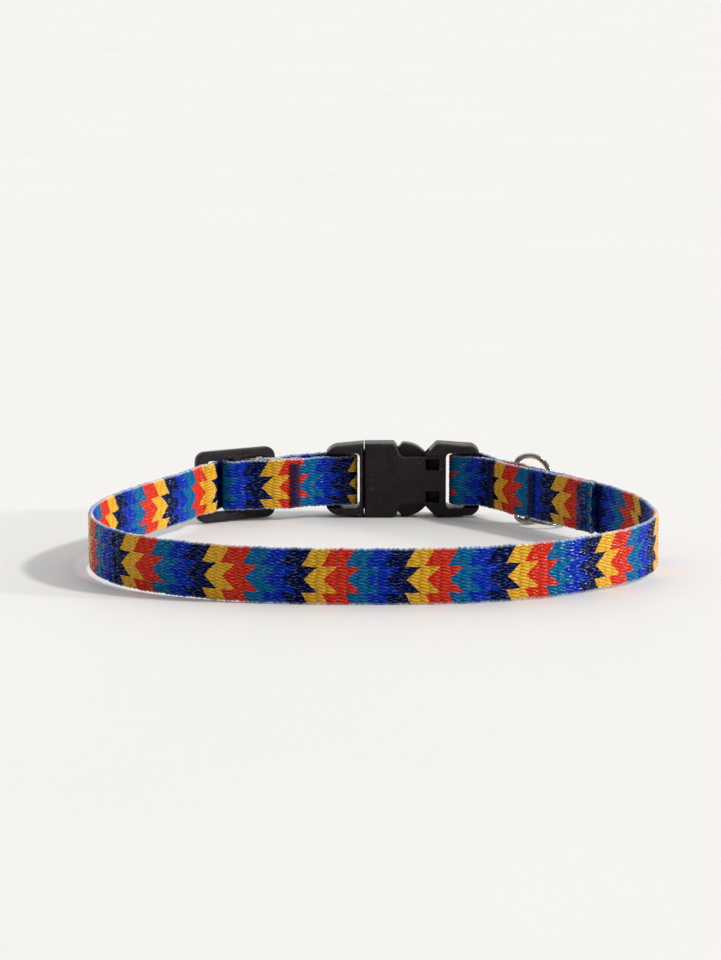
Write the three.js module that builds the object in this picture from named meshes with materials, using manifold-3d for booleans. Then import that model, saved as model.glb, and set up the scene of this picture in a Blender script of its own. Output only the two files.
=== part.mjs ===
// Adjustable quick-release collar: printed webbing, side-release buckle, tri-glide slider,
// D-ring and split ring. Millimetres, +Z up. It is laid out in a loop frame that has the front
// of the loop at y = 0 and the buckle at the back; the group at the end stands the whole on
// z = 0 with the origin under the middle of its bounding box.
import * as THREE from "three";
import Module from "manifold-3d";
import { mergeVertices } from "three/addons/utils/BufferGeometryUtils.js";

const wasm = await Module();
wasm.setup();

// ---- driving dimensions -------------------------------------------------------------------

const WEB_WIDTH = 10.3;
const WEB_THICKNESS = 1.0;
const LAYER_GAP = 0.2; // air between two layers of webbing
const LAYER_PITCH = WEB_THICKNESS + LAYER_GAP;
const END_GAP = 0.3; // air between two lengths of the webbing that meet end to end
const STRAP_RISE = 0.028; // the loop's lower edge climbs this much for each mm towards the back

const BUCKLE = {
  x: -1.95, // the line where plug and socket meet
  y: 89.1, // middle of its thickness
  height: 15.4,
  thickness: 5.6,
  plateGap: 3.8, // clear space between the socket's two plates
  windowHeight: 11.4,
  windowCorner: 0.9,
  barThickness: 2.6,
};
const SOCKET = {
  length: 23.7,
  cavityDepth: 13.3,
  recessDepth: 2.0, // the two square core holes in the neck-side plate
  slot: [16.7, 20.9],
  plateHalf: 5.0,
  sideWall: 0.95,
};
const PLUG = { length: 8.2, window: [-5.2, -1.0], tongue: 11.5, tongueHeight: 3.0, thickness: 3.0 };
const ARM = { rootX: 1.4, thickness: 3.2, clearance: 0.3 };

const SLIDER = {
  x: -28.4,
  y: 83.5,
  turn: THREE.MathUtils.degToRad(30), // how far it is turned from the buckle's line
  length: 17.9,
  height: 14.6,
  thickness: 1.8,
  slot: [1.0, 6.5], // each slot's two ends, measured from the middle
  slotHeight: 10.6,
};

const D_RING = {
  x: 28.95,
  y: 78.9,
  turn: THREE.MathUtils.degToRad(3),
  wire: 1.1,
  height: 14.66,
  reach: 8.4,
  corner: { reach: 2.6, drop: 1.3 }, // where the straight side turns into the bow
};
const SPLIT_RING = {
  radius: 3.8,
  wire: 0.7,
  gap: 0.17, // air between it and the D-ring's lower wire
  along: 5.45, // its middle, measured along the D-ring from the straight side
  aside: 1.5, // how far its middle lies from the D-ring's plane, towards the neck
  dip: THREE.MathUtils.degToRad(8.6),
};

const TACK = { thickness: 0.35, gap: 0.1, width: 9.0 };

// ---- materials ----------------------------------------------------------------------------

const materials = {
  webbing: { color: 0x1d4f9c, roughness: 0.75, metalness: 0 },
  thread: { color: 0x1a2f9e, roughness: 0.6, metalness: 0 },
  plastic: { color: 0x1b1719, roughness: 0.42, metalness: 0 },
  steel: { color: 0xb9bbbd, roughness: 0.22, metalness: 1 },
};

function named(name, geometry, material) {
  const mesh = new THREE.Mesh(geometry, new THREE.MeshStandardMaterial(materials[material]));
  mesh.name = name;
  return mesh;
}

// ---- joining and cutting solids -----------------------------------------------------------

function toSolid(geometry) {
  const bare = geometry.clone();
  bare.deleteAttribute("normal");
  bare.deleteAttribute("uv");
  const merged = mergeVertices(bare, 1e-4);
  const vertProperties = new Float32Array(merged.attributes.position.array);
  const triVerts = new Uint32Array(merged.index.array);
  return new wasm.Manifold(new wasm.Mesh({ numProp: 3, vertProperties, triVerts }));
}

function toGeometry(solid) {
  const { vertProperties, triVerts } = solid.getMesh();
  const geometry = new THREE.BufferGeometry();
  geometry.setAttribute("position", new THREE.BufferAttribute(vertProperties, 3));
  geometry.setIndex(new THREE.BufferAttribute(triVerts, 1));
  return geometry;
}

function cut(solid, ...tools) {
  return tools.reduce((left, tool) => left.subtract(toSolid(tool)), solid);
}

// A box given by its two corners.
function block([x0, y0, z0], [x1, y1, z1]) {
  const box = new THREE.BoxGeometry(x1 - x0, y1 - y0, z1 - z0);
  return box.translate((x0 + x1) / 2, (y0 + y1) / 2, (z0 + z1) / 2);
}

// A flat plate whose outline lies in X and Z, centred on y = 0, with rounded edges.
function plate(shape, thickness, round, curveSegments = 6) {
  const geometry = new THREE.ExtrudeGeometry(shape, {
    depth: thickness - 2 * round,
    bevelThickness: round,
    bevelSize: round,
    bevelOffset: -round,
    bevelSegments: 3,
    curveSegments,
  });
  geometry.translate(0, 0, round - thickness / 2);
  return geometry.rotateX(Math.PI / 2);
}

// An outline that is the same above and below the middle, from the points of its upper half.
function mirroredShape(upper) {
  const lower = upper.map(([x, z]) => [x, -z]).reverse();
  return new THREE.Shape([...upper, ...lower].map(([x, z]) => new THREE.Vector2(x, z)));
}

// A quarter of a rounded corner, as points from one angle to another.
function corner(x, z, radius, from, to, steps = 5) {
  const points = [];
  for (let i = 0; i <= steps; i++) {
    const angle = THREE.MathUtils.degToRad(from + ((to - from) * i) / steps);
    points.push([x + radius * Math.cos(angle), z + radius * Math.sin(angle)]);
  }
  return points;
}

// ---- the webbing's route ------------------------------------------------------------------

// A point beside the slider: along its length, and off its middle towards the neck.
function atSlider(along, inward) {
  const cos = Math.cos(SLIDER.turn);
  const sin = Math.sin(SLIDER.turn);
  return [SLIDER.x + along * cos + inward * sin, SLIDER.y + along * sin - inward * cos];
}

// A point beside the buckle: along its length, and off its middle towards the neck.
function atBuckle(along, inward) {
  return [BUCKLE.x + along, BUCKLE.y - inward];
}

const overBar = BUCKLE.barThickness / 2 + LAYER_GAP + WEB_THICKNESS / 2;

// The loose fold round a webbing bar: tip is its far end, and side is +1 where the bar is on
// the fold's right.
function foldPoints(tip, side) {
  const half = [[4.05, 1], [2.05, 0.88], [0.45, 0.48]];
  const there = half.map(([back, share]) => atBuckle(tip + side * back, share * overBar));
  const back = half.map(([step, share]) => atBuckle(tip + side * step, -share * overBar)).reverse();
  return [...there, atBuckle(tip, 0), ...back];
}

// The sewn end: from its hidden cut edge, round the slider's middle bar, and out again.
const wrapRoute = [
  [12.8, 4.25], [10.2, 3.7], [7.6, 3.05], [6.2, 2.5], [4.2, 0.95], [2.4, -0.75], [1.0, -1.5],
  [-0.6, -1.55], [-1.9, -0.95], [-2.3, 0], [-1.9, 0.95], [-0.6, 1.55], [1.4, 1.9], [4.2, 2.95],
].map(([along, inward]) => atSlider(along, inward));

const legRoute = [atSlider(7.6, 4.3), atSlider(11.4, 5.1), atBuckle(-8.7, 2.3)];

const returnRoute = [atBuckle(-8.9, -2.15), [-14.8, 90.0], atSlider(8.7, 1.6)];

// The running length: in at the right of the slider, over its middle bar, out at the left.
const weaveRoute = [
  [7.4, 1.6], [6.3, 1.35], [4.9, -0.1], [3.2, -1.65], [1.5, -2.75], [0, -2.9], [-1.6, -2.7],
  [-3.4, -1.45], [-5.2, 0.5], [-6.6, 1.45], [-8.6, 1.6],
].map(([along, inward]) => atSlider(along, inward));

const loopRoute = [
  [-36.9, 73.4], [-39.3, 68.9], [-44.0, 61.0], [-48.6, 52.6], [-52.0, 44.2], [-53.5, 36.0],
  [-53.0, 28.4], [-50.6, 21.3], [-46.4, 15.0], [-40.8, 10.2], [-34.5, 6.7], [-27.6, 3.8],
  [-19.6, 1.8], [-10.4, 0.8], [-6.4, 0.65], [3.8, 0.6], [14.0, 1.3], [17.6, 1.9], [25.4, 4.2],
  [33.4, 7.6], [41.0, 12.9], [46.8, 18.2], [50.8, 24.4], [52.7, 31.2], [52.2, 39.0],
  [50.45, 47.85],
];

// Where the webbing is doubled, from just before its sewn cut end to the buckle: the middle line
// between the two layers, and how far each layer lies from it.
const apart = LAYER_PITCH / 2;
const apartAtRing = D_RING.wire / 2 + 0.15 + WEB_THICKNESS / 2;
const doubledLine = [
  [46.6, 54.6, apart], [42.9, 60.9, apart], [38.7, 66.6, apart], [34.7, 71.6, apart],
  [32.4, 74.5, apart], [D_RING.x, D_RING.y, apartAtRing], [26.0, 82.7, apart + 0.1],
  [24.2, 85.0, apart + 0.05],
];

// The doubled line's points, shifted to one of its two layers: side is +1 for the neck side.
function doubledRoute(side) {
  return doubledLine.map(([x, y, spread], i) => {
    const before = doubledLine[Math.max(i - 1, 0)];
    const after = doubledLine[Math.min(i + 1, doubledLine.length - 1)];
    const along = new THREE.Vector2(after[0] - before[0], after[1] - before[1]).normalize();
    return [x - side * spread * along.y, y + side * spread * along.x];
  });
}

const route = [];
const station = {};

function lay(name, points) {
  station[name] = [route.length, route.length + points.length - 1];
  route.push(...points);
}

lay("wrap", wrapRoute);
lay("leg", legRoute);
lay("plugFold", foldPoints(-1.85, -1));
lay("return", returnRoute);
lay("weave", weaveRoute);
lay("loop", loopRoute);
lay("outerDoubled", doubledRoute(-1));
lay("socketFold", [atBuckle(24.9, -0.6), atBuckle(24.0, -1.75), ...foldPoints(17.8, 1).reverse()]);
lay("tail", [atBuckle(23.6, 2.55), ...doubledRoute(1).reverse()]);

const strap = new THREE.CatmullRomCurve3(route.map(([x, y]) => new THREE.Vector3(x, y, 0)));

// The strap's line between two places on the route, counted in route points.
function strapLine(from, to, stepsPerPoint) {
  const steps = Math.ceil((to - from) * stepsPerPoint);
  const samples = [];
  for (let i = 0; i <= steps; i++) {
    samples.push(strap.getPoint((from + ((to - from) * i) / steps) / (route.length - 1)));
  }
  return samples;
}

// Takes a length off the start of a line.
function shorten(line, length) {
  const points = line.slice();
  let left = length;
  while (points.length > 2 && points[0].distanceTo(points[1]) <= left) {
    left -= points[0].distanceTo(points[1]);
    points.shift();
  }
  points[0] = points[0].clone().lerp(points[1], left / points[0].distanceTo(points[1]));
  return points;
}

// An upright band that follows a line: offset moves it sideways, and the side to the left of
// the line's direction is positive.
function band(line, thickness, width, offset = 0) {
  const edge = (side) =>
    line.map((point, i) => {
      const before = line[Math.max(i - 1, 0)];
      const after = line[Math.min(i + 1, line.length - 1)];
      const along = new THREE.Vector3().subVectors(after, before).normalize();
      const off = offset + (side * thickness) / 2;
      return new THREE.Vector2(point.x - off * along.y, point.y + off * along.x);
    });
  const shape = new THREE.Shape([...edge(-1), ...edge(1).reverse()]);
  const geometry = new THREE.ExtrudeGeometry(shape, { depth: width, bevelEnabled: false });
  geometry.translate(0, 0, (WEB_WIDTH - width) / 2);
  const tilt = new THREE.Matrix4().makeShear(0, 0, 0, STRAP_RISE, 0, 0);
  return geometry.applyMatrix4(tilt);
}

function strapLength(name, from, to) {
  const line = shorten(strapLine(from, to, 4), END_GAP / 2);
  const trimmed = shorten(line.reverse(), END_GAP / 2).reverse();
  return named(name, band(trimmed, WEB_THICKNESS, WEB_WIDTH), "webbing");
}

// A sewn bar tack: the threads that lie on one face of the webbing.
function tack(name, middle, length, side) {
  const whole = strapLine(Math.max(middle - 1, 0), middle + 1, 16);
  const centre = strap.getPoint(middle / (route.length - 1));
  const near = whole.filter((point) => point.distanceTo(centre) <= length / 2);
  const offset = side * (WEB_THICKNESS / 2 + TACK.gap + TACK.thickness / 2);
  return named(name, band(near, TACK.thickness, TACK.width, offset), "thread");
}

// ---- the buckle ---------------------------------------------------------------------------

const halfHeight = BUCKLE.height / 2;
const halfThickness = BUCKLE.thickness / 2;
const halfWindow = BUCKLE.windowHeight / 2;
const halfBar = BUCKLE.barThickness / 2;
const halfCavity = BUCKLE.plateGap / 2;

// The opening in the buckle that the webbing runs through, with rounded corners.
function windowCutter([x0, x1]) {
  const shape = new THREE.Shape(rectangle(x0, x1, halfWindow, BUCKLE.windowCorner));
  return plate(shape, BUCKLE.thickness + 2, 0.01);
}

// Cuts the webbing bar thin, so that the webbing over it lies inside the buckle's thickness.
function barReliefs(x0, x1) {
  const beyond = halfThickness + 1;
  return [
    block([x0, halfBar, -halfWindow], [x1, beyond, halfWindow]),
    block([x0, -beyond, -halfWindow], [x1, -halfBar, halfWindow]),
  ];
}

function socketShape() {
  return mirroredShape([
    [0, halfHeight], [6.0, halfHeight], [6.5, halfHeight - 0.5], [7.4, SOCKET.plateHalf + 0.3],
    [7.9, SOCKET.plateHalf], [12.2, SOCKET.plateHalf], [14.7, halfHeight - 0.1],
    [15.2, halfHeight], [19.6, halfHeight - 0.35],
    ...corner(SOCKET.length - 2.4, halfHeight - 2.8, 2.4, 75, 0),
  ]);
}

function socketBody() {
  const { length, cavityDepth, recessDepth, slot, sideWall } = SOCKET;
  const inside = halfHeight - sideWall;
  const outside = halfThickness + 1;
  const recess = (z) => block([12.5, -outside, z - 1.15], [15.3, recessDepth - halfThickness, z + 1.15]);
  const body = cut(
    toSolid(plate(socketShape(), BUCKLE.thickness, 0.5)),
    block([-1, -halfCavity, -inside], [cavityDepth, halfCavity, inside]),
    windowCutter(slot),
    ...barReliefs(slot[1] - 1, length + 1),
    recess(3.35),
    recess(-3.35),
  );
  return named("socket_body", toGeometry(body), "plastic");
}

function plugShape() {
  return mirroredShape([
    ...corner(3.0 - PLUG.length, halfHeight - 3.5, 3.0, 180, 98),
    [-0.15, halfHeight],
  ]);
}

// The plug's frame with its webbing bar, the shoulder that the arms spring from, and the
// middle tongue that guides the plug into the socket.
function plugFrame() {
  const { window, length, tongue, tongueHeight, thickness } = PLUG;
  const half = thickness / 2;
  const frame = cut(
    toSolid(plate(plugShape(), BUCKLE.thickness, 0.75)),
    windowCutter(window),
    ...barReliefs(-length - 1, window[0] + 1),
  );
  const shoulder = block([-0.6, -half, -6.0], [ARM.rootX - ARM.clearance, half, 6.0]);
  const tongueShape = mirroredShape([
    [0.5, tongueHeight / 2], ...corner(tongue - 1.2, 0.3, tongueHeight / 2 - 0.3, 90, 0),
  ]);
  const body = frame.add(toSolid(shoulder)).add(toSolid(plate(tongueShape, thickness, 0.3)));
  return named("plug_frame", toGeometry(body), "plastic");
}

// One springing arm: a straight beam that ends in the curved button outside the socket.
function armShape() {
  const root = ARM.rootX;
  const shape = new THREE.Shape();
  shape.moveTo(root, 3.7);
  shape.lineTo(root, 5.8);
  shape.lineTo(6.2, 5.9);
  shape.lineTo(6.9, 6.6);
  shape.lineTo(7.8, 7.65);
  shape.quadraticCurveTo(10.6, 7.65, 12.5, 5.6);
  shape.quadraticCurveTo(12.7, 5.0, 12.2, 4.6);
  shape.quadraticCurveTo(9.5, 4.5, 7.6, 4.0);
  shape.lineTo(6.6, 3.7);
  return shape;
}

function arm(name, side) {
  const geometry = plate(armShape(), ARM.thickness, 0.3, 5);
  if (side < 0) geometry.rotateX(Math.PI);
  return named(name, geometry, "plastic");
}

function buckle() {
  const group = new THREE.Group();
  group.add(socketBody(), plugFrame(), arm("upper_arm", 1), arm("lower_arm", -1));
  group.position.set(BUCKLE.x, BUCKLE.y, halfHeight);
  return group;
}

// ---- slider and rings ---------------------------------------------------------------------

function strapMiddleZ(y) {
  return STRAP_RISE * y + WEB_WIDTH / 2;
}

function rectangle(x0, x1, halfTall, radius) {
  const [right, top] = [x1 - radius, halfTall - radius];
  const left = x0 + radius;
  return [
    ...corner(right, top, radius, 0, 90), ...corner(left, top, radius, 90, 180),
    ...corner(left, -top, radius, 180, 270), ...corner(right, -top, radius, 270, 360),
  ].map(([x, z]) => new THREE.Vector2(x, z));
}

function slider() {
  const half = SLIDER.length / 2;
  const shape = new THREE.Shape(rectangle(-half, half, SLIDER.height / 2, 2.0));
  const [near, far] = SLIDER.slot;
  const halfSlot = SLIDER.slotHeight / 2;
  shape.holes.push(new THREE.Path(rectangle(near, far, halfSlot, 0.5)));
  shape.holes.push(new THREE.Path(rectangle(-far, -near, halfSlot, 0.5)));
  const mesh = named("slider", plate(shape, SLIDER.thickness, 0.4), "plastic");
  mesh.position.set(SLIDER.x, SLIDER.y, strapMiddleZ(SLIDER.y));
  mesh.rotation.z = SLIDER.turn;
  return mesh;
}

// A D outline: the straight side at the back, quarter-ellipse corners, and the bow towards +x.
function bowPoints(halfTall, reach, back, steps) {
  const { reach: cornerReach, drop } = D_RING.corner;
  const upper = [];
  for (let i = 0; i <= 5; i++) {
    const angle = (Math.PI / 2) * (i / 5);
    upper.push([back + (cornerReach - back) * (1 - Math.cos(angle)),
      halfTall - drop * (1 - Math.sin(angle))]);
  }
  for (let i = 1; i <= steps; i++) {
    const angle = (Math.PI / 2) * (i / steps);
    upper.push([cornerReach + (reach - cornerReach) * Math.sin(angle), halfTall * Math.cos(angle)]);
  }
  const lower = upper.slice(0, -1).map(([x, z]) => [x, -z]).reverse();
  return [...upper, ...lower].reverse().map(([x, z]) => new THREE.Vector2(x, z));
}

function dRing() {
  const { wire, height, reach } = D_RING;
  const shape = new THREE.Shape(bowPoints(height / 2, reach - wire / 2, -wire / 2, 10));
  shape.holes.push(
    new THREE.Path(bowPoints(height / 2 - wire, reach - 1.5 * wire, wire / 2, 10)));
  return named("d_ring", plate(shape, wire, wire * 0.3), "steel");
}

// Two flat turns of wire pressed together, with the groove between them.
function splitRing() {
  const { radius, wire } = SPLIT_RING;
  const half = wire / 2;
  const groove = 0.12;
  const profile = [
    [-half, -half], [half, -half], [half, -0.05], [half - groove, 0], [half, 0.05],
    [half, half], [-half, half], [-half, 0.05], [groove - half, 0], [-half, -0.05],
    [-half, -half],
  ].map(([r, z]) => new THREE.Vector2(radius + r, z));
  const geometry = new THREE.LatheGeometry(profile, 48).rotateX(Math.PI / 2);
  return named("split_ring", geometry, "steel");
}

function rings() {
  const group = new THREE.Group();
  const middle = strapMiddleZ(D_RING.y);
  const link = splitRing();
  const wireTop = D_RING.wire - D_RING.height / 2;
  const clear = SPLIT_RING.gap + SPLIT_RING.wire / 2;
  const chord = Math.sqrt(SPLIT_RING.radius ** 2 - SPLIT_RING.aside ** 2);
  const drop = chord * Math.tan(SPLIT_RING.dip);
  link.position.set(SPLIT_RING.along, -SPLIT_RING.aside, wireTop + clear - drop);
  link.rotation.y = SPLIT_RING.dip;
  group.add(dRing(), link);
  group.position.set(D_RING.x, D_RING.y, middle);
  group.rotation.z = D_RING.turn;
  return group;
}

// ---- the whole collar ---------------------------------------------------------------------

function webbing() {
  const at = (name, index) => station[name][0] + index;
  const flexFrom = at("loop", 14);
  const flexTo = at("loop", 16);
  const group = new THREE.Group();
  group.add(
    strapLength("strap_sewn_end", 0, at("leg", 0)),
    strapLength("strap_adjuster_leg", at("leg", 0), at("plugFold", 0)),
    strapLength("strap_plug_fold", at("plugFold", 0), at("return", 0)),
    strapLength("strap_return", at("return", 0), at("return", 2)),
    strapLength("strap_slider_pass", at("return", 2), at("weave", 10)),
    strapLength("strap_left", at("weave", 10), flexFrom),
    strapLength("strap_front", flexFrom, flexTo),
    strapLength("strap_right", flexTo, at("outerDoubled", 7)),
    strapLength("strap_socket_fold", at("outerDoubled", 7), at("tail", 1)),
    strapLength("strap_tail", at("tail", 1), at("tail", 7) + 0.15),
  );
  return group;
}

function tacks() {
  const at = (name, index) => station[name][0] + index;
  const group = new THREE.Group();
  group.add(
    tack("tack_slider_neck_side", at("leg", 1) - 0.1, 2.2, -1),
    tack("tack_slider_outer_side", at("wrap", 0) + 0.6, 2.2, -1),
    tack("tack_buckle_neck_side", at("tail", 1) + 0.4, 1.6, -1),
    tack("tack_buckle_outer_side", at("outerDoubled", 6) + 0.6, 1.6, -1),
    tack("tack_ring_neck_side", at("tail", 4), 1.8, -1),
    tack("tack_ring_outer_side", at("outerDoubled", 4), 1.8, -1),
    tack("tack_end_neck_side", at("tail", 7) - 0.27, 3.4, -1),
    tack("tack_end_outer_side", at("outerDoubled", 1) + 0.27, 3.4, -1),
  );
  return group;
}

const collar = new THREE.Group();
collar.add(buckle(), slider(), rings(), webbing(), tacks());

const bounds = new THREE.Box3().setFromObject(collar);
const middle = bounds.getCenter(new THREE.Vector3());
collar.position.set(-middle.x, -middle.y, -bounds.min.z);

export default collar;
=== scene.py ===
"""Looks of an adjustable quick-release collar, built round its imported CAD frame.

The webbing, its sewn bar tacks and the two rings are built here; the buckle and the slider keep
their CAD shape and get a moulded plastic finish. Lengths are millimetres in the collar's loop
frame, which has the front of the loop at y = 0 and the buckle at the back, until row_point()
turns them into the frame's metres.
"""

import math

import bpy
import numpy as np
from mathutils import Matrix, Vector


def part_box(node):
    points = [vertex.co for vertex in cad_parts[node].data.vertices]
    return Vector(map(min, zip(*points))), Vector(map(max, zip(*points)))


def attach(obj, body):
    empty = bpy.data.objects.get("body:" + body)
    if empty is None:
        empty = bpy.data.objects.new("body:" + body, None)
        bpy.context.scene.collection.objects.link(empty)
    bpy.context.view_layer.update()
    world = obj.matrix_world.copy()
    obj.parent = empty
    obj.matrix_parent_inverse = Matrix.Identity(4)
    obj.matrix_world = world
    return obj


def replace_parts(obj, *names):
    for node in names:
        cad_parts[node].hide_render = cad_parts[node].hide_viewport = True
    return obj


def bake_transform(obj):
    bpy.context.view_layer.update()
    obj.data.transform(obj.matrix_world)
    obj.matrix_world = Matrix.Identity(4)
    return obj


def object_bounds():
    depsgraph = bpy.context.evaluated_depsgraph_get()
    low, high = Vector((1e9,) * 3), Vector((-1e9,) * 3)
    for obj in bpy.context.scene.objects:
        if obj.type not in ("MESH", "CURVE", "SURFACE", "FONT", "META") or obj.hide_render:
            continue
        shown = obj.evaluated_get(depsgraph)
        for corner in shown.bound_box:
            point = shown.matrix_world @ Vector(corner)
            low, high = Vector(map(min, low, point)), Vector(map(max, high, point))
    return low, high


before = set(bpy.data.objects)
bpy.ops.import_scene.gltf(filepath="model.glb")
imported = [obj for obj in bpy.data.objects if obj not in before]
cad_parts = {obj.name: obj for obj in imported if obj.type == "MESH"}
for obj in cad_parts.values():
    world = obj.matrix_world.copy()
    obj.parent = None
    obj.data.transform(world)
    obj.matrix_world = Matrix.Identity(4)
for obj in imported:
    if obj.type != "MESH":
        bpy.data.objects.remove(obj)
cad_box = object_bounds()
dice = np.random.default_rng(7)

MM = 0.001

# ---- driving dimensions, as in the CAD source ---------------------------------------------

WEB_WIDTH = 10.3
WEB_THICKNESS = 1.0
LAYER_GAP = 0.2
STRAP_RISE = 0.028

BUCKLE_X, BUCKLE_Y, BAR_THICKNESS = -1.95, 89.1, 2.6
SOCKET_LENGTH = 23.7
SLIDER_X, SLIDER_Y, SLIDER_TURN = -28.4, 83.5, math.radians(30)
D_RING = {"x": 28.95, "y": 78.9, "turn": math.radians(3), "wire": 1.1, "height": 14.66, "reach": 8.4,
          "corner_reach": 2.6, "corner_drop": 1.3}
SPLIT_RING = {"radius": 3.8, "wire": 0.7, "gap": 0.17, "along": 5.45, "aside": 1.5,
              "dip": math.radians(8.6)}
HINGE_X = 3.8

_low, _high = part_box("socket_body")
SHIFT_X = _high.x / MM - (BUCKLE_X + SOCKET_LENGTH)
SHIFT_Y = (_low.y + _high.y) / 2 / MM - BUCKLE_Y


def row_point(x, y, z):
    """A loop-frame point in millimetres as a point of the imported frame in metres."""
    return Vector(((x + SHIFT_X) * MM, (y + SHIFT_Y) * MM, z * MM))


def row_points(points):
    return (np.asarray(points, float) + np.array([SHIFT_X, SHIFT_Y, 0.0])) * MM


# ---- camera, light and floor --------------------------------------------------------------

CAMERA_LENS = 118
CAMERA_ASIDE = 2.4 * MM  # left of the collar's middle
CAMERA_AWAY, CAMERA_HEIGHT = 0.550, 0.117  # metres, from the collar's front and from the floor
CAMERA_DIP = 9.73  # degrees below level


def make_camera():
    """A long lens a little above the collar, square to the front of its loop."""
    low, high = cad_box
    data = bpy.data.cameras.new("camera")
    data.lens = CAMERA_LENS
    camera = bpy.data.objects.new("camera", data)
    middle = (low.x + high.x) / 2
    camera.location = (middle - CAMERA_ASIDE, low.y - CAMERA_AWAY, CAMERA_HEIGHT)
    camera.rotation_euler = (math.radians(90 - CAMERA_DIP), 0, 0)
    bpy.context.scene.collection.objects.link(camera)
    bpy.context.scene.camera = camera


def sun_light(name, direction, strength, angle, colour):
    """A distant light that comes from a direction; a wider angle gives softer shadows."""
    data = bpy.data.lights.new(name, "SUN")
    data.energy = strength
    data.angle = math.radians(angle)
    data.color = colour
    light = bpy.data.objects.new(name, data)
    light.rotation_euler = Vector(direction).to_track_quat("Z", "Y").to_euler()
    bpy.context.scene.collection.objects.link(light)


def make_light():
    """Two suns from the right, one low, under a soft dome that is bright behind and dark in front."""
    sun_light("key", (0.76, -0.10, 0.65), 1.9, 6, (1.0, 0.97, 0.93))
    sun_light("low_strip", (0.93, -0.14, 0.27), 1.3, 5, (1.0, 0.98, 0.96))
    world = bpy.data.worlds.new("studio")
    world.use_nodes = True
    tree = world.node_tree
    background = tree.nodes["Background"]
    direction = tree.nodes.new("ShaderNodeTexCoord")
    upward = tree.nodes.new("ShaderNodeVectorMath")
    upward.operation = "DOT_PRODUCT"
    upward.inputs[1].default_value = (0.0, 0.8, 0.9)
    dome = tree.nodes.new("ShaderNodeValToRGB")
    dome.color_ramp.elements[0].color = (0.22, 0.22, 0.23, 1)
    dome.color_ramp.elements[0].position = 0.1
    dome.color_ramp.elements[1].color = (1.0, 1.0, 0.99, 1)
    dome.color_ramp.elements[1].position = 0.9
    tree.links.new(direction.outputs["Generated"], upward.inputs[0])
    tree.links.new(upward.outputs["Value"], dome.inputs["Fac"])
    tree.links.new(dome.outputs["Color"], background.inputs["Color"])
    background.inputs["Strength"].default_value = 0.95
    bpy.context.scene.world = world
    bpy.context.scene.view_settings.view_transform = "Standard"


# ---- node helpers -------------------------------------------------------------------------

class Shader:
    """A new material's nodes, made and joined in one call each."""

    def __init__(self, name, **values):
        self.material = bpy.data.materials.new(name)
        self.material.use_nodes = True
        self.tree = self.material.node_tree
        self.surface = self.tree.nodes["Principled BSDF"]
        for socket, value in values.items():
            self.surface.inputs[socket.replace("_", " ")].default_value = value

    def add(self, kind, inputs=(), output=0, **settings):
        """Adds a node, sets or joins its inputs, and gives the named output."""
        made = self.tree.nodes.new("ShaderNode" + kind)
        for key, value in settings.items():
            setattr(made, key, value)
        for socket, value in dict(inputs).items():
            self.join(value, made.inputs[socket])
        return made.outputs[output]

    def join(self, value, socket):
        if isinstance(value, bpy.types.NodeSocket):
            self.tree.links.new(value, socket)
        else:
            socket.default_value = value

    def drive(self, socket, value):
        self.join(value, self.surface.inputs[socket])

    def math(self, operation, a, b=0.0, clamp=False):
        return self.add("Math", {0: a, 1: b}, operation=operation, use_clamp=clamp)

    def attribute(self, name):
        return self.add("Attribute", output="Fac", attribute_name=name)

    def place(self, scale):
        """Object coordinates stretched by a scale for each axis."""
        where = self.add("TexCoord", output="Object")
        return self.add("Mapping", {"Vector": where, "Scale": scale})

    def noise(self, vector, scale=1.0, detail=2.0, rough=0.5):
        return self.add("TexNoise", {"Vector": vector, "Scale": scale, "Detail": detail,
                                     "Roughness": rough})

    def yarn_noise(self, along, across, detail=2.0, rough=0.6):
        """Noise drawn out along the webbing; the scales are for its length and its height."""
        where = self.add("CombineXYZ", {
            "X": self.math("MULTIPLY", self.attribute("run"), along),
            "Y": self.math("MULTIPLY", self.attribute("across"), across),
        })
        return self.noise(where, 1.0, detail, rough)

    def ramp(self, value, stops):
        """Straight steps between stops, each a position and a colour or a grey."""
        made = self.tree.nodes.new("ShaderNodeValToRGB")
        band = made.color_ramp
        while len(band.elements) < len(stops):
            band.elements.new(0.5)
        for element, (position, colour) in zip(band.elements, stops):
            element.position = position
            element.color = colour if hasattr(colour, "__len__") else (colour,) * 3 + (1,)
        self.join(value, made.inputs["Fac"])
        return made.outputs["Color"]

    def mix(self, share, a, b, blend="MIX"):
        made = self.tree.nodes.new("ShaderNodeMix")
        made.data_type, made.blend_type = "RGBA", blend
        self.join(share, made.inputs["Factor"])
        for socket, value in zip(("A", "B"), (a, b)):
            target = [i for i in made.inputs if i.name == socket and i.type == "RGBA"][0]
            self.join(value, target)
        return [o for o in made.outputs if o.type == "RGBA"][0]

    def bump(self, height, strength, depth):
        inputs = {"Height": height, "Strength": strength, "Distance": depth}
        return self.add("Bump", inputs, output="Normal")


def srgb(red, green, blue):
    """A screen colour, 0 to 255, as linear values for a shader."""
    def linear(value):
        value /= 255
        return value / 12.92 if value <= 0.04045 else ((value + 0.055) / 1.055) ** 2.4
    return (linear(red), linear(green), linear(blue), 1.0)


# ---- materials ----------------------------------------------------------------------------

CHEVRON_REPEAT = 18.4  # length of one repeat of the print
CHEVRON_DEPTH = 3.0  # the colour bands' offsets below are shares of this
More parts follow.
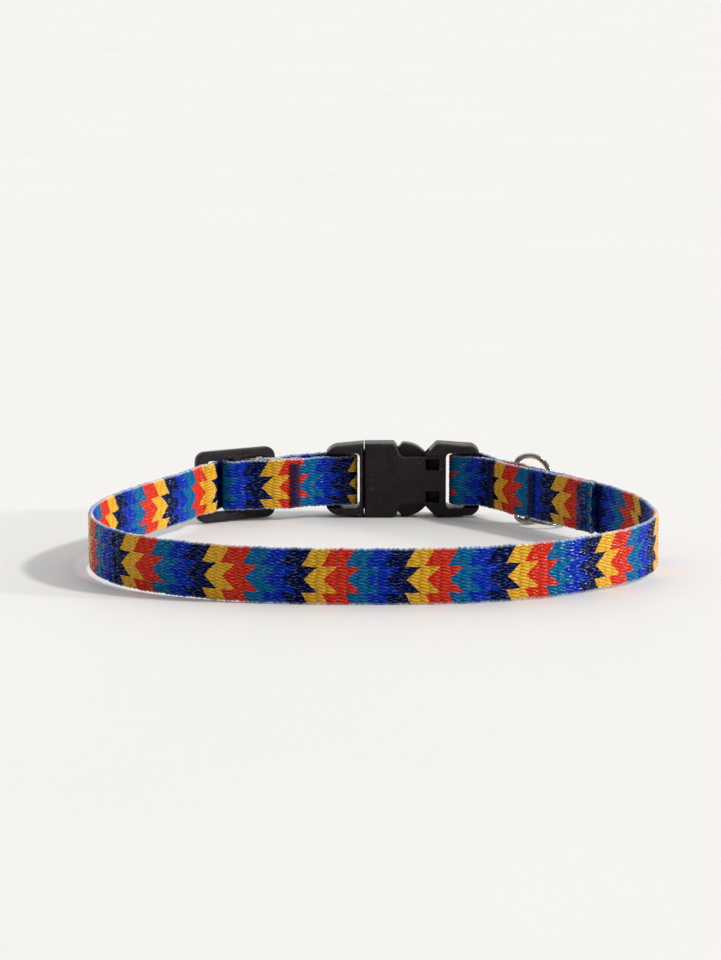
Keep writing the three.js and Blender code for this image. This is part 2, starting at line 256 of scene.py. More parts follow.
# How far the bands are set back along the webbing, from its top edge to its bottom edge.
CHEVRON_OUTLINE = [(0.0, 0.64), (0.322, 0.0), (0.327, 0.94), (0.553, 0.11), (0.788, 0.94),
                   (0.793, 0.0), (1.0, 0.38)]
YELLOW, RED = srgb(238, 180, 42), srgb(222, 50, 22)
TEAL, BLUE, NAVY = srgb(0, 104, 158), srgb(0, 46, 178), srgb(0, 13, 72)
PRINT_BANDS = [(0.0, YELLOW), (0.184, YELLOW), (0.190, RED), (0.410, RED), (0.418, TEAL),
               (0.575, TEAL), (0.635, BLUE), (0.760, BLUE), (0.815, NAVY), (0.995, NAVY),
               (1.0, YELLOW)]
UNDYED = srgb(196, 214, 232)
# Pale colour of the crest strands: partly worn filaments, partly painted glints.
WORN_AND_GLINT_FILAMENT = srgb(120, 196, 224)
SHINE_TINT = (0.25, 0.28, 0.32, 1)  # what a reflection has beyond the dye's own colour
STRAY_DYE = 0.042  # how far the bands' edges stray, as a share of one repeat


def chevron_print(shader):
    """The zigzag colour bands, with the small steps that the yarns give their edges."""
    stray = shader.math("SUBTRACT", shader.yarn_noise(0.9, 27.0, detail=3.0), 0.5)
    outline = shader.ramp(shader.attribute("across"), CHEVRON_OUTLINE)
    back = shader.math("MULTIPLY", outline, -CHEVRON_DEPTH / CHEVRON_REPEAT)
    place = shader.math("ADD", shader.attribute("repeat"), back)
    place = shader.math("ADD", place, shader.math("MULTIPLY", stray, STRAY_DYE))
    return shader.ramp(shader.math("FRACT", place), PRINT_BANDS)


def webbing_colour(shader, streak, strand):
    """The dye and pale selvedges. It is darker between the floats, partly from painted shade, with
    pale strands on the crests that are partly worn filaments and partly painted glints.
    """
    colour = chevron_print(shader)
    shader.drive("Specular Tint", shader.mix(1.0, colour, SHINE_TINT, "ADD"))

    tone = shader.ramp(streak, [(0.25, 0.70), (0.75, 1.15)])
    colour = shader.mix(1.0, colour, tone, "MULTIPLY")
    # Darker in the hollows between the floats and lighter on the crests: partly painted shade and
    # painted light, partly the dye lying thinner in the hollows.
    shade = shader.ramp(shader.attribute("relief"), [(0.0, 0.26), (0.42, 0.86), (1.0, 1.2)])
    colour = shader.mix(1.0, colour, shade, "MULTIPLY")

    # Pale strands on the crests, screened over the dye: partly worn filaments, partly painted glints
    # that stand in for the lamps' reflection.
    worn_and_glint = shader.ramp(strand, [(0.54, 0.0), (0.64, 0.10)])
    on_crests = shader.ramp(shader.attribute("ridge"), [(0.55, 0.0), (0.85, 1.0)])
    colour = shader.mix(shader.math("MULTIPLY", worn_and_glint, on_crests), colour, WORN_AND_GLINT_FILAMENT, "SCREEN")

    undyed = shader.yarn_noise(1.1, 3.0, detail=3.0, rough=0.7)
    bare = shader.ramp(undyed, [(0.36, 0.2), (0.62, 0.85)])
    selvedge = shader.math("MULTIPLY", shader.attribute("selvedge"), bare, clamp=True)
    shader.drive("Base Color", shader.mix(selvedge, colour, UNDYED))


def webbing_shine(shader, streak, strand):
    """The glints: a coat and a stronger reflection, on the crests of some strands."""
    crest = shader.ramp(shader.attribute("ridge"), [(0.40, 0.0), (0.72, 1.0)])
    glint = shader.ramp(strand, [(0.46, 0.0), (0.60, 0.5)])
    shader.drive("Specular IOR Level", shader.math("MULTIPLY", glint, crest))
    taut = shader.ramp(strand, [(0.54, 0.0), (0.64, 1.0)])
    shader.drive("Coat Weight", shader.math("MULTIPLY", taut, crest))
    shader.drive("Roughness", shader.ramp(streak, [(0.3, 0.13), (0.7, 0.24)]))
    uneven = shader.bump(streak, 0.6, 0.00006)
    shader.drive("Normal", uneven)
    shader.drive("Coat Normal", uneven)


def webbing_material():
    """Dye-printed woven webbing: fine streaks in every yarn, and coarser strands that glint."""
    shader = Shader("printed_webbing", Sheen_Weight=0.02, Sheen_Roughness=0.3,
                    Coat_IOR=1.9, Coat_Roughness=0.22)
    streak = shader.yarn_noise(0.8, 190.0)
    strand = shader.yarn_noise(0.9, 62.0)
    webbing_colour(shader, streak, strand)
    webbing_shine(shader, streak, strand)
    return shader.material


def thread_material(name, colour, light):
    """Twisted sewing thread with a shine along its ply."""
    shader = Shader(name, Specular_IOR_Level=0.3, Sheen_Weight=0.03)
    where = shader.place((2600, 2600, 2600))
    ply = shader.add("TexWave", {"Vector": where, "Scale": 0.6, "Distortion": 1.2, "Detail": 1.0},
                     output="Fac", bands_direction="DIAGONAL")
    # Noise mixes in the second colour in patches; on the shiny blue thread these pale patches are
    # painted highlights.
    patches_and_highlight = shader.noise(shader.place((900, 900, 900)), 1.0, 2.0)
    share = shader.ramp(patches_and_highlight, [(0.50, 0.0), (0.70, 0.75)])
    shader.drive("Base Color", shader.mix(share, colour, light))
    shader.drive("Roughness", shader.ramp(ply, [(0.2, 0.28), (0.8, 0.5)]))
    shader.drive("Normal", shader.bump(ply, 0.6, 0.00005))
    return shader.material


def plastic_material():
    """Moulded plastic: nearly black, with a fine grain and a few scuffs."""
    shader = Shader("black_acetal", Specular_IOR_Level=0.27)
    grain = shader.noise(shader.place((6500, 6500, 6500)), 1.0, 1.0, 0.6)
    flow = shader.noise(shader.place((260, 260, 260)), 1.0, 3.0, 0.55)
    scuff = shader.ramp(shader.noise(shader.place((700, 2600, 1500)), 1.0, 4.0, 0.75),
                        [(0.72, 0.0), (0.76, 0.3)])
    tone = shader.ramp(flow, [(0.3, (0.0085, 0.0044, 0.0072, 1)),
                              (0.7, (0.0130, 0.0076, 0.0112, 1))])
    tone = shader.mix(scuff, tone, (0.10, 0.09, 0.088, 1))
    shader.drive("Base Color", tone)
    shader.drive("Roughness", shader.ramp(flow, [(0.3, 0.24), (0.7, 0.36)]))
    shader.drive("Normal", shader.bump(grain, 1.0, 0.00018))
    return shader.material


def steel_material():
    """Bright plated wire with fine lines and cloudy tarnish. Its colour is darkened, a painted
    reflection of darker surroundings.
    """
    shader = Shader("nickel_plate", Metallic=1.0)
    fine = shader.noise(shader.place((3500, 3500, 900)), 1.0, 3.0, 0.6)
    cloud = shader.noise(shader.place((420, 420, 420)), 1.0, 3.0, 0.6)
    # The base colour is darker than bare nickel: painted dark reflection, standing in for surroundings
    # darker than the dome.
    shader.drive("Base Color", shader.ramp(cloud, [(0.3, (0.27, 0.26, 0.24, 1)),
                                                   (0.65, (0.48, 0.47, 0.45, 1))]))
    shader.drive("Roughness", shader.ramp(fine, [(0.3, 0.06), (0.75, 0.18)]))
    shader.drive("Normal", shader.bump(fine, 0.2, 0.00003))
    return shader.material


def floor_material():
    """A plain pale floor, very slightly uneven."""
    shader = Shader("pale_floor", Roughness=0.62)
    cloud = shader.noise(shader.place((9, 9, 9)), 1.0, 3.0)
    shader.drive("Base Color", shader.ramp(cloud, [(0.3, (0.775, 0.77, 0.76, 1)),
                                                   (0.7, (0.795, 0.79, 0.78, 1))]))
    shader.drive("Normal", shader.bump(shader.noise(shader.place((900, 900, 900))), 0.1, 0.0002))
    return shader.material


# ---- the webbing's route ------------------------------------------------------------------

def at_slider(along, inward):
    """A point beside the slider: along its length, and off its middle towards the neck."""
    cos, sin = math.cos(SLIDER_TURN), math.sin(SLIDER_TURN)
    return (SLIDER_X + along * cos + inward * sin, SLIDER_Y + along * sin - inward * cos)


def at_buckle(along, inward):
    """A point beside the buckle: along its length, and off its middle towards the neck."""
    return (BUCKLE_X + along, BUCKLE_Y - inward)


def fold_points(tip, side):
    """The loose fold round a webbing bar; side is +1 where the bar is on the fold's right."""
    over_bar = BAR_THICKNESS / 2 + LAYER_GAP + WEB_THICKNESS / 2
    half = [(4.05, 1), (2.05, 0.88), (0.45, 0.48)]
    there = [at_buckle(tip + side * back, share * over_bar) for back, share in half]
    back = [at_buckle(tip + side * step, -share * over_bar) for step, share in half]
    return there + [at_buckle(tip, 0)] + back[::-1]


def doubled_route(side):
    """The doubled stretch up to the buckle, as one of its layers; side is +1 on the neck side."""
    apart = (WEB_THICKNESS + LAYER_GAP) / 2
    beside_ring = D_RING["wire"] / 2 + 0.15 + WEB_THICKNESS / 2
    middle = [(46.6, 54.6, apart), (42.9, 60.9, apart), (38.7, 66.6, apart), (34.7, 71.6, apart),
              (32.4, 74.5, apart), (D_RING["x"], D_RING["y"], beside_ring), (26.0, 82.7, apart + 0.1),
              (24.2, 85.0, apart + 0.05)]
    shifted = []
    for i, (x, y, spread) in enumerate(middle):
        before, after = middle[max(i - 1, 0)], middle[min(i + 1, len(middle) - 1)]
        along = Vector((after[0] - before[0], after[1] - before[1])).normalized()
        shifted.append((x - side * spread * along.y, y + side * spread * along.x))
    return shifted


# The route, from the sewn end to the cut end. The wrap round the slider's middle bar and the weave
# through the slider are beside the slider; the loop is seen from above.
WRAP = [(12.8, 4.25), (10.2, 3.7), (7.6, 3.05), (6.2, 2.5), (4.2, 0.95), (2.4, -0.75),
        (1.0, -1.5), (-0.6, -1.55), (-1.9, -0.95), (-2.3, 0), (-1.9, 0.95), (-0.6, 1.55),
        (1.4, 1.9), (4.2, 2.95)]
WEAVE = [(7.4, 1.6), (6.3, 1.35), (4.9, -0.1), (3.2, -1.65), (1.5, -2.75), (0, -2.9),
         (-1.6, -2.7), (-3.4, -1.45), (-5.2, 0.5), (-6.6, 1.45), (-8.6, 1.6)]
LOOP = [(-36.9, 73.4), (-39.3, 68.9), (-44.0, 61.0), (-48.6, 52.6), (-52.0, 44.2), (-53.5, 36.0),
        (-53.0, 28.4), (-50.6, 21.3), (-46.4, 15.0), (-40.8, 10.2), (-34.5, 6.7), (-27.6, 3.8),
        (-19.6, 1.8), (-10.4, 0.8), (-6.4, 0.65), (3.8, 0.6), (14.0, 1.3), (17.6, 1.9),
        (25.4, 4.2), (33.4, 7.6), (41.0, 12.9), (46.8, 18.2), (50.8, 24.4), (52.7, 31.2),
        (52.2, 39.0), (50.45, 47.85)]
STRETCHES = {
    "wrap": [at_slider(*p) for p in WRAP],
    "leg": [at_slider(7.6, 4.3), at_slider(11.4, 5.1), at_buckle(-8.7, 2.3)],
    "plug_fold": fold_points(-1.85, -1),
    "return": [at_buckle(-8.9, -2.15), (-14.8, 90.0), at_slider(8.7, 1.6)],
    "weave": [at_slider(*p) for p in WEAVE],
    "loop": LOOP,
    "outer": doubled_route(-1),
    "socket_fold": [at_buckle(24.9, -0.6), at_buckle(24.0, -1.75)] + fold_points(17.8, 1)[::-1],
    "tail": [at_buckle(23.6, 2.55)] + doubled_route(1)[::-1],
}


def spline(points, steps):
    """The centripetal Catmull-Rom curve through the points, steps samples to each."""
    points = np.array(points, float)
    padded = np.vstack([2 * points[0] - points[1], points, 2 * points[-1] - points[-2]])
    samples = []
    for p0, p1, p2, p3 in zip(padded, padded[1:], padded[2:], padded[3:]):
        d0, d1, d2 = (math.sqrt(np.linalg.norm(b - a)) for a, b in ((p0, p1), (p1, p2), (p2, p3)))
        leave = ((p1 - p0) / d0 - (p2 - p0) / (d0 + d1) + (p2 - p1) / d1) * d1
        arrive = ((p2 - p1) / d1 - (p3 - p1) / (d1 + d2) + (p3 - p2) / d2) * d1
        t = np.linspace(0, 1, steps, endpoint=False)[:, None]
        samples.append(p1 + leave * t + (3 * (p2 - p1) - 2 * leave - arrive) * t**2
                       + (2 * (p1 - p2) + leave + arrive) * t**3)
    return np.vstack(samples + [points[-1:]])


class Strap:
    """The webbing's middle line, with a length along it in place of the route's points."""

    STEPS = 40

    def __init__(self, stretches):
        self.first, route = {}, []
        for name, points in stretches.items():
            self.first[name] = len(route)
            route += points
        curve = spline(route, self.STEPS)
        gaps = np.hypot(*np.diff(curve, axis=0).T)
        self.curve_run = np.concatenate([[0], np.cumsum(gaps)])
        self.run = np.arange(0, self.curve_run[-1], 0.05)
        self.line = np.column_stack([np.interp(self.run, self.curve_run, curve[:, i]) for i in (0, 1)])
        along = np.gradient(self.line, axis=0)
        self.along = along / np.hypot(*along.T)[:, None]

    def at(self, name, index):
        """The length along the webbing at a stretch's numbered point, which may be a fraction."""
        return float(np.interp((self.first[name] + index) * self.STEPS,
                               np.arange(len(self.curve_run)), self.curve_run))

    def points(self, run, aside, height):
        """Points at a length along, off the middle to the left, and above the lower edge."""
        x, y = (np.interp(run, self.run, self.line[:, i]) for i in (0, 1))
        ax, ay = (np.interp(run, self.run, self.along[:, i]) for i in (0, 1))
        size = np.hypot(ax, ay)
        x, y = x - aside * ay / size, y + aside * ax / size
        return row_points(np.column_stack([x, y, height + STRAP_RISE * y]))


strap = Strap(STRETCHES)


# ---- mesh building ------------------------------------------------------------------------

def mesh_object(name, points, faces, material, smooth=True):
    """A new object in the scene, from points in metres."""
    mesh = bpy.data.meshes.new(name)
    mesh.from_pydata([tuple(p) for p in points], [], [tuple(int(i) for i in f) for f in faces])
    mesh.polygons.foreach_set("use_smooth", [smooth] * len(mesh.polygons))
    mesh.materials.append(material)
    mesh.update()
    made = bpy.data.objects.new(name, mesh)
    bpy.context.scene.collection.objects.link(made)
    return made


def set_attribute(made, name, values):
    layer = made.data.attributes.new(name, "FLOAT", "POINT")
    layer.data.foreach_set("value", np.asarray(values, np.float32))


def grid_faces(rows, columns):
    """Quads of a tube of rows rings, each with columns points."""
    i, j = np.meshgrid(np.arange(rows - 1), np.arange(columns), indexing="ij")
    a, b = i * columns + j, i * columns + (j + 1) % columns
    return np.stack([a, b, b + columns, a + columns], -1).reshape(-1, 4)


def tube(points, radius, sides, closed=False):
    """Vertices and faces of a round wire through the points, with closed or capped ends."""
    points = np.asarray(points, float)
    count = len(points)
    if closed:
        along = np.roll(points, -1, 0) - np.roll(points, 1, 0)
    else:
        along = np.gradient(points, axis=0)
    along /= np.linalg.norm(along, axis=1)[:, None]
    normal = np.cross(along[0], (0.31, 0.53, 0.79))
    rings = []
    for direction in along:
        normal = normal - direction * (normal @ direction)
        normal /= np.linalg.norm(normal)
        rings.append((normal, np.cross(direction, normal)))
    angle = np.arange(sides) * 2 * math.pi / sides
    ring = [p + radius * (np.outer(np.cos(angle), n) + np.outer(np.sin(angle), b))
            for p, (n, b) in zip(points, rings)]
    faces = grid_faces(count, sides).tolist()
    if closed:
        last = (count - 1) * sides
        start, end = ring[0], ring[-1]
        twist = int(np.argmin([np.linalg.norm(end[0] - start[k]) for k in range(sides)]))
        for j in range(sides):
            k = (j + 1) % sides
            faces.append([last + j, last + k, (k + twist) % sides, (j + twist) % sides])
    else:
        faces.append(list(range(sides))[::-1])
        faces.append([(count - 1) * sides + j for j in range(sides)])
    return np.vstack(ring), faces


def joined(parts):
    """Several (vertices, faces) as one."""
    points, faces, start = [], [], 0
    for part_points, part_faces in parts:
        points.append(part_points)
        faces += [[start + i for i in face] for face in part_faces]
        start += len(part_points)
    return np.vstack(points), faces


# ---- webbing ------------------------------------------------------------------------------

STEP_ALONG = 0.21  # one mesh step along the webbing
STEPS_ACROSS = 80  # mesh steps over one face
STEPS_ROUND = 6  # mesh steps round a selvedge
CORDS = 17  # rows of warp yarn seen on one face
FLOAT = 1.84  # length of one float of warp yarn
WAVE = (0.08, 0.12)  # how far a row sways up and down, in rows: neck side, outer side
SLANT = (-0.70, -0.45)  # how far a float climbs over its length, in rows: the same two sides
RELIEF = 0.23  # from a float's crest down to the hollow beside it
PROUD = 0.03  # how far a crest stands out of the webbing's nominal face
cord_phase = dice.uniform(-0.14, 0.14, (2, CORDS))
cord_lift = dice.uniform(0.85, 1.0, (2, CORDS))

PRINT_START = 7.0  # length along the webbing where a repeat starts, at its zigzag's middle point
ZIGZAG_MIDDLE = CHEVRON_OUTLINE[3][1]  # how far that point is set back
SELVEDGE_FROM = 0.3  # the edge share past which the outline counts as selvedge


def section():
    """The webbing's outline: height from the middle, offset, outward direction and edge share."""
    half_wide, half_thick = WEB_WIDTH / 2, WEB_THICKNESS / 2
    flat = half_wide - half_thick
    down = np.linspace(flat, -flat, STEPS_ACROSS + 1)
    turn = np.linspace(0, math.pi, STEPS_ROUND + 1)[1:-1]
    heights, offsets, out_h, out_o, edge = [], [], [], [], []
    for side in (1, -1):
        heights += list(side * down) + list(-side * (flat + half_thick * np.sin(turn)))
        offsets += [side * half_thick] * len(down) + list(side * half_thick * np.cos(turn))
        out_h += [0.0] * len(down) + list(-side * np.sin(turn))
        out_o += [float(side)] * len(down) + list(side * np.cos(turn))
        edge += [0.0] * len(down) + list(np.sin(turn))
    return tuple(np.array(v) for v in (heights, offsets, out_h, out_o, edge))


def weave_height(run, across, face):
    """Rows of arched floats, side by side in columns: how high the yarn stands, and its ridge."""
    column = run / FLOAT
    sway = np.array(WAVE)[face] * np.sin(2 * math.pi * column + 0.5 * np.sin(run * 0.37))
    climb = np.array(SLANT)[face] * (column % 1.0 - 0.5)
    level = across * CORDS + sway + climb
    row = np.clip(np.floor(level), 0, CORDS - 1).astype(int)
    x = (column + cord_phase[face, row]) % 1.0 - 0.5
    y = np.clip(level - row - 0.5, -0.5, 0.5)
    cord = np.cos(math.pi * y) ** 0.7
    swell = 1 - np.abs(2 * x) ** 2.4
    return cord * (0.48 + 0.52 * swell) * cord_lift[face, row], cord


def sharpen_caps(mesh):
    """Shades the two end faces flat, so that lengths that meet show no seam."""
    ends = set()
    for cap in mesh.polygons[-2:]:
        cap.use_smooth = False
        ends.update(cap.edge_keys)
    for edge in mesh.edges:
        if edge.key in ends:
            edge.use_edge_sharp = True


def print_repeat(run):
    """The print's place in repeats at a length along, from which the zigzag is then set back."""
    tip = ZIGZAG_MIDDLE * CHEVRON_DEPTH / CHEVRON_REPEAT
    return (run - PRINT_START) / CHEVRON_REPEAT + tip


def web_piece(name, start, end, material):
    """One length of woven webbing, capped at both ends."""
    rows = max(3, int(round((end - start) / STEP_ALONG)) + 1)
    height, offset, out_h, out_o, edge = section()
    columns = len(height)
    run = np.repeat(np.linspace(start, end, rows), columns)
    outline = (height, offset, out_h, out_o, edge)
    height, offset, out_h, out_o, edge = (np.tile(v, rows) for v in outline)
    across = 0.5 - height / WEB_WIDTH
    face = (out_o < 0).astype(int)
    yarn, ridge = weave_height(run, across, face)
    scallop = 0.5 + 0.5 * np.cos(2 * math.pi * (run / (FLOAT / 2) + 0.2 * np.sin(run * 1.7)))
    level = np.where(edge > SELVEDGE_FROM, 0.35 + 0.65 * scallop, yarn)
    push = PROUD - RELIEF * (1 - level)
    wander = 0.05 * np.sin(run * 0.83 + 1.1) + 0.04 * np.sin(run * 2.1)
    tall = height + out_h * push + wander * height / (WEB_WIDTH / 2)
    aside = offset + out_o * push
    points = strap.points(run, aside, WEB_WIDTH / 2 + tall)
    points[:, 2] = np.maximum(points[:, 2], 0)
    faces = grid_faces(rows, columns).tolist()
    faces.append(list(range(columns))[::-1])
    faces.append([(rows - 1) * columns + j for j in range(columns)])
    made = mesh_object(name, points, faces, material)
    sharpen_caps(made.data)
    set_attribute(made, "run", run)
    set_attribute(made, "across", across)
    set_attribute(made, "repeat", print_repeat(run))
    set_attribute(made, "relief", level)
    set_attribute(made, "ridge", np.where(edge > SELVEDGE_FROM, 0.8, ridge))
    set_attribute(made, "selvedge", np.clip((edge - 0.35) * 2.5, 0, 1))
    return made


SETTLE = 34  # length past the slider over which the webbing takes up the slider's slide
CUT_END = 7.15  # where the webbing is cut off, in points of the tail's stretch
FLEX = 12  # how far the bending front length reaches to each side of the hinge


def run_at_front(x):
    """The length along the webbing where its front stretch crosses x."""
    low, high = strap.at("loop", 11), strap.at("loop", 18)
    chosen = (strap.run > low) & (strap.run < high)
    return float(np.interp(x, strap.line[chosen, 0], strap.run[chosen]))


def make_webbing(material):
    """The whole webbing as lengths that each ride on a body, and lengths between two bodies that are
    left unattached.
    """
    sewn = strap.at("leg", 0)
    fold = strap.at("plug_fold", 0)
    fold_end = strap.at("plug_fold", 6)
    slider_in = strap.at("return", 2)
    slider_out = strap.at("weave", 10)
    settled = slider_out + SETTLE
    flex = [run_at_front(HINGE_X - FLEX), run_at_front(HINGE_X + FLEX)]
    right = strap.at("loop", 25)
    socket_in = strap.at("outer", 7)
    socket_out = strap.at("tail", 1)
    cut_end = strap.at("tail", CUT_END)

    riding = [
        ("webbing_sewn_end", 0.0, sewn, "slider", "strap_sewn_end"),
        ("webbing_plug_fold", fold, fold_end, "plug_side", "strap_plug_fold"),
        ("webbing_slider_pass", slider_in, slider_out, "slider", "strap_slider_pass"),
        ("webbing_left", settled, flex[0], "plug_side", "strap_left"),
        ("webbing_right", flex[1], right, "socket_side", "strap_right"),
        ("webbing_right_doubled", right, socket_in, "socket_side", "strap_right"),
        ("webbing_socket_fold", socket_in, socket_out, "socket_side", "strap_socket_fold"),
        ("webbing_tail", socket_out, cut_end, "socket_side", "strap_tail"),
    ]
    for name, start, end, body, node in riding:
        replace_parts(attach(web_piece(name, start, end, material), body), node)

    bending = [
        ("webbing_leg", sewn, fold, "slider", "plug_side", "strap_adjuster_leg"),
        ("webbing_return", fold_end, slider_in, "plug_side", "slider", "strap_return"),
        ("webbing_left_end", slider_out, settled, "slider", "plug_side", "strap_left"),
        ("webbing_front", flex[0], flex[1], "plug_side", "socket_side", "strap_front"),
    ]
    for name, start, end, body_a, body_b, node in bending:
        piece = web_piece(name, start, end, material)
        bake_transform(piece)
        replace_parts(piece, node)


# ---- bar tacks ----------------------------------------------------------------------------

THREAD_RADIUS = 0.13
STITCH_PITCH = 0.42
TACK_TOP, TACK_BOTTOM = 9.4, 0.6  # heights above the webbing's lower edge
# One stitch: its share of the tack's length, and how far it stands off the webbing there.
STITCH_ARCH = ((-0.50, -0.05), (-0.38, 0.17), (0.0, 0.27), (0.38, 0.17), (0.50, -0.05))


def tack_threads(middle, length, side):
    """A bar tack on one face: close zigzag stitches over a few threads laid across the webbing."""
    face = WEB_THICKNESS / 2 + PROUD + 0.02
    tall = TACK_TOP - TACK_BOTTOM
    count = int(tall / STITCH_PITCH)
    parts = []
    for share in (-0.30, 0.02, 0.32):
        height = np.linspace(TACK_BOTTOM + 0.15, TACK_TOP - 0.15, 24)
        run = middle + share * length + 0.05 * np.sin(height * 3 + share * 9)
        aside = np.full(24, side * (face + THREAD_RADIUS * 0.7))
        parts.append(tube(strap.points(run, aside, height), THREAD_RADIUS * MM, 6))
    run, aside, height = [], [], []
    for k in range(count + 1):
        flip = 1 if k % 2 else -1
        sway = dice.uniform(-0.06, 0.06, 3)
        level = TACK_TOP - tall * k / count
        for share, rise in STITCH_ARCH:
            run.append(middle + flip * share * length + sway[0])
            aside.append(side * (face + rise))
            height.append(level + sway[1] - tall / count * (share + 0.5) * 0.9)
    parts.append(tube(strap.points(np.array(run), np.array(aside), np.array(height)),
                      THREAD_RADIUS * MM, 6))
    return joined(parts)


def make_tacks(blue, shiny, yellow):
    """Four bar tacks, each on both faces, and the loose threads at the cut end."""
    places = [
        ("tack_slider_neck_side", strap.at("leg", 0.9), 2.2, blue, "slider"),
        ("tack_slider_outer_side", strap.at("wrap", 0.6), 2.2, blue, "slider"),
        ("tack_buckle_neck_side", strap.at("tail", 1.4), 1.6, blue, "socket_side"),
        ("tack_buckle_outer_side", strap.at("outer", 6.6), 1.6, blue, "socket_side"),
        ("tack_ring_neck_side", strap.at("tail", 4), 1.8, blue, "socket_side"),
        ("tack_ring_outer_side", strap.at("outer", 4), 1.8, blue, "socket_side"),
        ("tack_end_neck_side", strap.at("tail", 6.73), 3.4, shiny, "socket_side"),
        ("tack_end_outer_side", strap.at("outer", 1.27), 3.4, shiny, "socket_side"),
    ]
    for node, middle, length, material, body in places:
        points, faces = tack_threads(middle, length, -1)
        piece = mesh_object("stitches_" + node.removeprefix("tack_"), points, faces, material)
        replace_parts(piece, node)
        if node == "tack_slider_neck_side":
            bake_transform(piece)
        else:
            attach(piece, body)
    make_overcast(yellow)


def make_overcast(material):
    """Loose contrasting threads that show along the webbing's cut end."""
    end = strap.at("tail", CUT_END)
    parts = []
    for low, high in ((7.5, 9.4), (4.6, 5.6), (2.3, 3.4), (0.5, 1.5)):
        height = np.linspace(low, high, 12)
        run = end + 0.05 + 0.12 * np.sin(height * 9)
        aside = -(WEB_THICKNESS / 2 + 0.02 + 0.06 * np.cos(height * 7))
        parts.append(tube(strap.points(run, aside, height), 0.11 * MM, 6))
    points, faces = joined(parts)
    piece = mesh_object("stitches_cut_end", points, faces, material)
    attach(piece, "socket_side")


# ---- plastic ------------------------------------------------------------------------------

EDGE_ROUNDING = 0.28


def finish_plastic(material):
    """The buckle and the slider keep their CAD shape, with softened edges."""
    for name in ("socket_body", "plug_frame", "upper_arm", "lower_arm", "slider"):
        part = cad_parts[name]
        part.data.materials.clear()
        part.data.materials.append(material)
        turn = SLIDER_TURN if name == "slider" else 0.0
        broad = Vector((-math.sin(turn), math.cos(turn), 0))
        for polygon in part.data.polygons:
            polygon.use_smooth = abs(polygon.normal.dot(broad)) < 0.999
        weld = part.modifiers.new("weld", "WELD")
        weld.merge_threshold = 0.002 * MM
        flat = part.modifiers.new("flat", "DECIMATE")
        flat.decimate_type = "DISSOLVE"
        flat.angle_limit = math.radians(1.0)
        bevel = part.modifiers.new("edges", "BEVEL")
        bevel.width = EDGE_ROUNDING * MM
        bevel.segments = 3
        bevel.limit_method = "ANGLE"
        bevel.angle_limit = math.radians(32)


# ---- rings --------------------------------------------------------------------------------

WIRE_SIDES = 16
FLAT_WIRE_SIDES = 14
TURN_STEPS = 200  # mesh steps along the split ring's two turns
SQUARENESS = 0.75  # 1 is an oval wire section, less is squarer
TURN_SLACK = 0.008  # taken off each side of a turn, so that the two turns stay apart
WIRE_START = 0.6  # radians round the ring to where its wire's ends lie


def strap_middle(y):
    """The height of the webbing's middle line."""
    return STRAP_RISE * y + WEB_WIDTH / 2


def at_ring(points):
    """Points of the D-ring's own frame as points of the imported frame."""
    cos, sin = math.cos(D_RING["turn"]), math.sin(D_RING["turn"])
    x, y, z = np.asarray(points, float).T
    return row_points(np.column_stack([
        D_RING["x"] + x * cos - y * sin,
        D_RING["y"] + x * sin + y * cos,
        strap_middle(D_RING["y"]) + z,
    ]))


def make_d_ring(material):
    """A bent wire: straight side in the webbing, bow outside."""
    wire = D_RING["wire"]
    half, reach = (D_RING["height"] - wire) / 2, D_RING["reach"] - wire
    wide, drop = D_RING["corner_reach"], D_RING["corner_drop"]
    quarter = np.linspace(0, math.pi / 2, 28)
    corner = [(wide * (1 - math.cos(a)), 0, half - drop * (1 - math.sin(a))) for a in quarter]
    bow = [(wide + (reach - wide) * math.sin(a), 0, half * math.cos(a)) for a in quarter[1:]]
    upper = corner + bow
    lower = [(x, y, -z) for x, y, z in reversed(upper[:-1])]
    side = [(0, 0, z) for z in np.linspace(drop - half, half - drop, 14)[1:-1]]
    points, faces = tube(at_ring(upper + lower + side), wire / 2 * MM, WIRE_SIDES, closed=True)
    piece = mesh_object("ring_d", points, faces, material)
    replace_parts(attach(piece, "d_ring"), "d_ring")


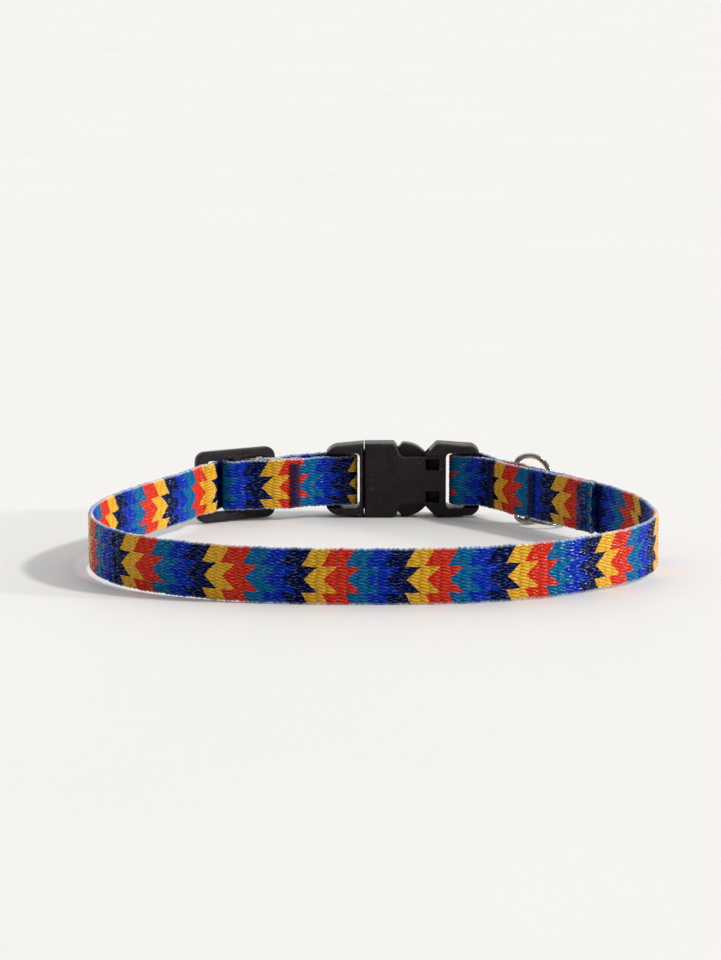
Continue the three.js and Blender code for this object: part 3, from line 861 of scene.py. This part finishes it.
def make_split_ring(material):
    """Two sprung turns of flattened wire, which cross over where the turns change level."""
    radius, wire = SPLIT_RING["radius"], SPLIT_RING["wire"]
    free = math.radians(9)  # left free before each wire end, and half of the crossing's angle
    turn = np.linspace(free, 4 * math.pi - free, TURN_STEPS)
    step = np.clip((turn - (2 * math.pi - free)) / (2 * free), 0, 1)
    level = (step * step * (3 - 2 * step) - 0.5) * wire / 2
    side = np.arange(FLAT_WIRE_SIDES) * 2 * math.pi / FLAT_WIRE_SIDES
    across = np.sign(np.cos(side)) * np.abs(np.cos(side)) ** SQUARENESS * wire / 2
    tall = np.sign(np.sin(side)) * np.abs(np.sin(side)) ** SQUARENESS * (wire / 4 - TURN_SLACK)
    reach = radius + across[None, :]
    angle = turn + WIRE_START
    x, y = reach * np.cos(angle)[:, None], reach * np.sin(angle)[:, None]
    z = level[:, None] + tall[None, :]
    dip = SPLIT_RING["dip"]
    flat = x * math.cos(dip) + z * math.sin(dip)
    lift = z * math.cos(dip) - x * math.sin(dip)
    wire_top = D_RING["wire"] - D_RING["height"] / 2
    chord = math.sqrt(radius**2 - SPLIT_RING["aside"] ** 2)
    middle = wire_top + SPLIT_RING["gap"] + wire / 2 - chord * math.tan(dip)
    local = np.stack([SPLIT_RING["along"] + flat, y - SPLIT_RING["aside"], middle + lift], -1)
    faces = grid_faces(len(turn), FLAT_WIRE_SIDES).tolist()
    faces.append(list(range(FLAT_WIRE_SIDES))[::-1])
    faces.append([(len(turn) - 1) * FLAT_WIRE_SIDES + j for j in range(FLAT_WIRE_SIDES)])
    piece = mesh_object("ring_split", at_ring(local.reshape(-1, 3)), faces, material)
    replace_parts(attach(piece, "split_ring"), "split_ring")


# ---- the scene ----------------------------------------------------------------------------

def make_floor():
    """A flat square, far wider than the view."""
    half = 40.0  # metres
    points = [(-half, -half, 0), (half, -half, 0), (half, half, 0), (-half, half, 0)]
    mesh_object("floor", points, [(0, 1, 2, 3)], floor_material(), smooth=False)


make_camera()
make_light()
make_floor()
finish_plastic(plastic_material())
make_webbing(webbing_material())
make_tacks(thread_material("thread_blue", srgb(5, 9, 60), srgb(20, 38, 150)),
           # The shiny thread's pale second colour is a painted highlight.
           thread_material("thread_shiny_blue", srgb(10, 26, 96), srgb(96, 130, 205)),
           thread_material("thread_yellow_green", srgb(168, 160, 30), srgb(110, 130, 40)))
steel = steel_material()
make_d_ring(steel)
make_split_ring(steel)
